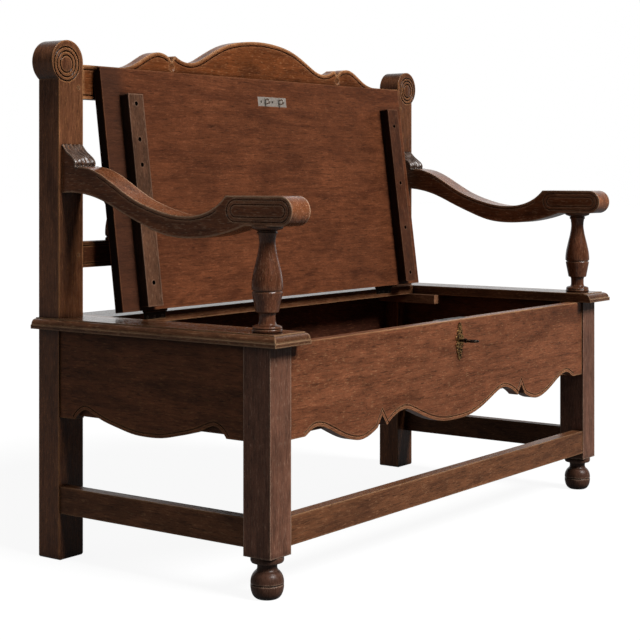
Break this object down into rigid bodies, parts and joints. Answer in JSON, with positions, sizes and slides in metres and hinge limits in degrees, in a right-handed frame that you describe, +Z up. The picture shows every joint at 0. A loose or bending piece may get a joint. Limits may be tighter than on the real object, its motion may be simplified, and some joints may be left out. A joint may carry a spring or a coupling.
{
  "type": "settle bench",
  "caption": "Oak box settle with roll-topped posts, sawn arms on turned supports, a shaped apron and crest, and a chest under a hinged, locking seat lid.",
  "frame": {"origin": "on the floor, under the middle of the bench's overall width and depth", "axes": "+Z up, +X along the bench towards a sitter's left-hand end, -Y towards the front"},
  "size_m": [1.294, 0.615, 1.043],
  "materials": {
    "oak": "polished",
    "iron": "satin",
    "brass": "satin",
    "screw_steel": "satin"
  },
  "bodies": {
    "frame": {"arm_left": "oak", "arm_right": "oak", "arm_support_left": "oak", "arm_support_right": "oak", "back_splat_1": "oak", "back_splat_2": "oak", "back_splat_3": "oak", "back_splat_4": "oak", "back_splat_5": "oak", "crest_rail": "oak", "end_panel_left": "oak", "end_panel_right": "oak", "escutcheon": "brass", "escutcheon_pins": "brass", "floor_bearer_front": "oak", "floor_bearer_rear": "oak", "floor_boards": "oak", "front_leg_left": "oak", "front_leg_right": "oak", "front_panel": "oak", "front_stretcher": "oak", "hinge_leaf_frame_left": "iron", "hinge_leaf_frame_right": "iron", "hinge_pin_left": "iron", "hinge_pin_right": "iron", "hinge_screws_frame": "screw_steel", "joint_pegs": "oak", "lock_cap": "iron", "lock_case": "iron", "lock_screws": "screw_steel", "lock_spring": "iron", "lower_back_rail": "oak", "rear_panel": "oak", "rear_post_left": "oak", "rear_post_right": "oak", "rear_seat_board": "oak", "seat_cleat_left": "oak", "seat_cleat_right": "oak", "seat_end_board_left": "oak", "seat_end_board_right": "oak", "side_rail_left": "oak", "side_rail_right": "oak"},
    "lid": {"batten_screws": "screw_steel", "hinge_leaf_lid_left": "iron", "hinge_leaf_lid_right": "iron", "hinge_screws_lid": "screw_steel", "lid_batten_left": "oak", "lid_batten_right": "oak", "lid_panel": "oak", "strike_plate": "iron", "strike_screws": "screw_steel"},
    "key": {"key": "iron"},
    "lock_bolt": {"lock_bolt": "iron"}
  },
  "joints": [
    {"name": "lid_hinge", "type": "hinge", "parent": "frame", "child": "lid", "pos_m": [0, 0.196, 0.4718], "axis": [1, 0, 0], "range_deg": [0, 97.53]},
    {"name": "key_turn", "type": "hinge", "parent": "frame", "child": "key", "pos_m": [0.011, -0.2405, 0.403], "axis": [0, 1, 0], "range_deg": [0, 180.05]},
    {"name": "bolt_slide", "type": "slide", "parent": "frame", "child": "lock_bolt", "axis": [1, 0, 0], "range_m": [0, 0.009]}
  ],
  "couplings": [
    {"joint": "key_turn", "follows": "bolt_slide", "rad_per_m": 349.07}
  ]
}
